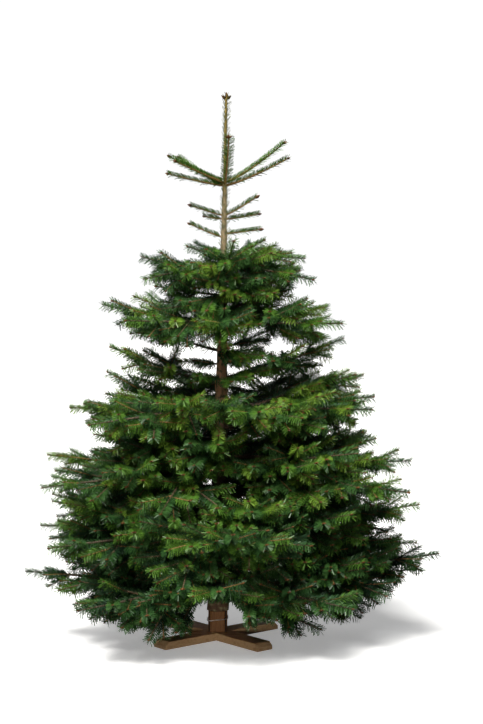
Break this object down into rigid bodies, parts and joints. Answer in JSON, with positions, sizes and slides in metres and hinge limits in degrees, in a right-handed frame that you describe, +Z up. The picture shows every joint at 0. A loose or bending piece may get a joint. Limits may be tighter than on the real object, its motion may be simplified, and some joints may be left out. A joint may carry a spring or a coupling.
{
  "type": "cut fir christmas tree on a cross stand",
  "caption": "Cut fir christmas tree, undecorated: straight trunk to a bare leader, whorls of boughs with flat sprays of needles, planed foot on a wooden cross stand.",
  "frame": {"origin": "on the floor, at the middle of the underside of the cross stand, below the middle of the trunk's foot", "axes": "+Z up the trunk, -Y the tree's front, +X its right seen from the front"},
  "size_m": [1.5215, 1.3395, 2.0283],
  "materials": {
    "bark": "rough bark, planed bare on the foot",
    "bough_bark": "smooth young bark",
    "needles": "glossy needles, dull below",
    "stand_board": "sawn softwood",
    "tie_wire": "dull galvanised"
  },
  "bodies": {
    "root": {"bough_tier_6_1": "bough_bark", "bough_tier_6_2": "bough_bark", "bough_tier_6_3": "bough_bark", "bough_tier_6_4": "bough_bark", "bough_tier_6_5": "bough_bark", "bough_tier_7_1": "bough_bark", "bough_tier_7_2": "bough_bark", "bough_tier_7_3": "bough_bark", "bough_tier_7_4": "bough_bark", "bough_tier_7_5": "bough_bark", "bough_tier_7_6": "bough_bark", "foliage_spur_lower_1": "needles", "foliage_spur_lower_2": "needles", "foliage_spur_upper_1": "needles", "foliage_spur_upper_2": "needles", "foliage_tier_1_1": "needles", "foliage_tier_1_2": "needles", "foliage_tier_1_3": "needles", "foliage_tier_1_4": "needles", "foliage_tier_1_5": "needles", "foliage_tier_2_1": "needles", "foliage_tier_2_2": "needles", "foliage_tier_2_3": "needles", "foliage_tier_2_4": "needles", "foliage_tier_2_5": "needles", "foliage_tier_2_6": "needles", "foliage_tier_3_1": "needles", "foliage_tier_3_2": "needles", "foliage_tier_4_1": "needles", "foliage_tier_4_2": "needles", "foliage_tier_4_3": "needles", "foliage_tier_4_4": "needles", "foliage_tier_4_5": "needles", "foliage_tier_4_6": "needles", "foliage_tier_5_1": "needles", "foliage_tier_5_2": "needles", "foliage_tier_5_3": "needles", "foliage_tier_5_4": "needles", "foliage_tier_5_5": "needles", "foliage_tier_6_1": "needles", "foliage_tier_6_2": "needles", "foliage_tier_6_3": "needles", "foliage_tier_6_4": "needles", "foliage_tier_6_5": "needles", "foliage_tier_7_1": "needles", "foliage_tier_7_2": "needles", "foliage_tier_7_3": "needles", "foliage_tier_7_4": "needles", "foliage_tier_7_5": "needles", "foliage_tier_7_6": "needles", "foliage_top_1": "needles", "foliage_top_2": "needles", "foliage_top_3": "needles", "foliage_top_4": "needles", "foliage_top_5": "needles", "foliage_top_6": "needles", "stand_board_lower": "stand_board", "stand_board_upper": "stand_board", "trunk": "bark", "wire_band": "tie_wire"}
  },
  "joints": []
}
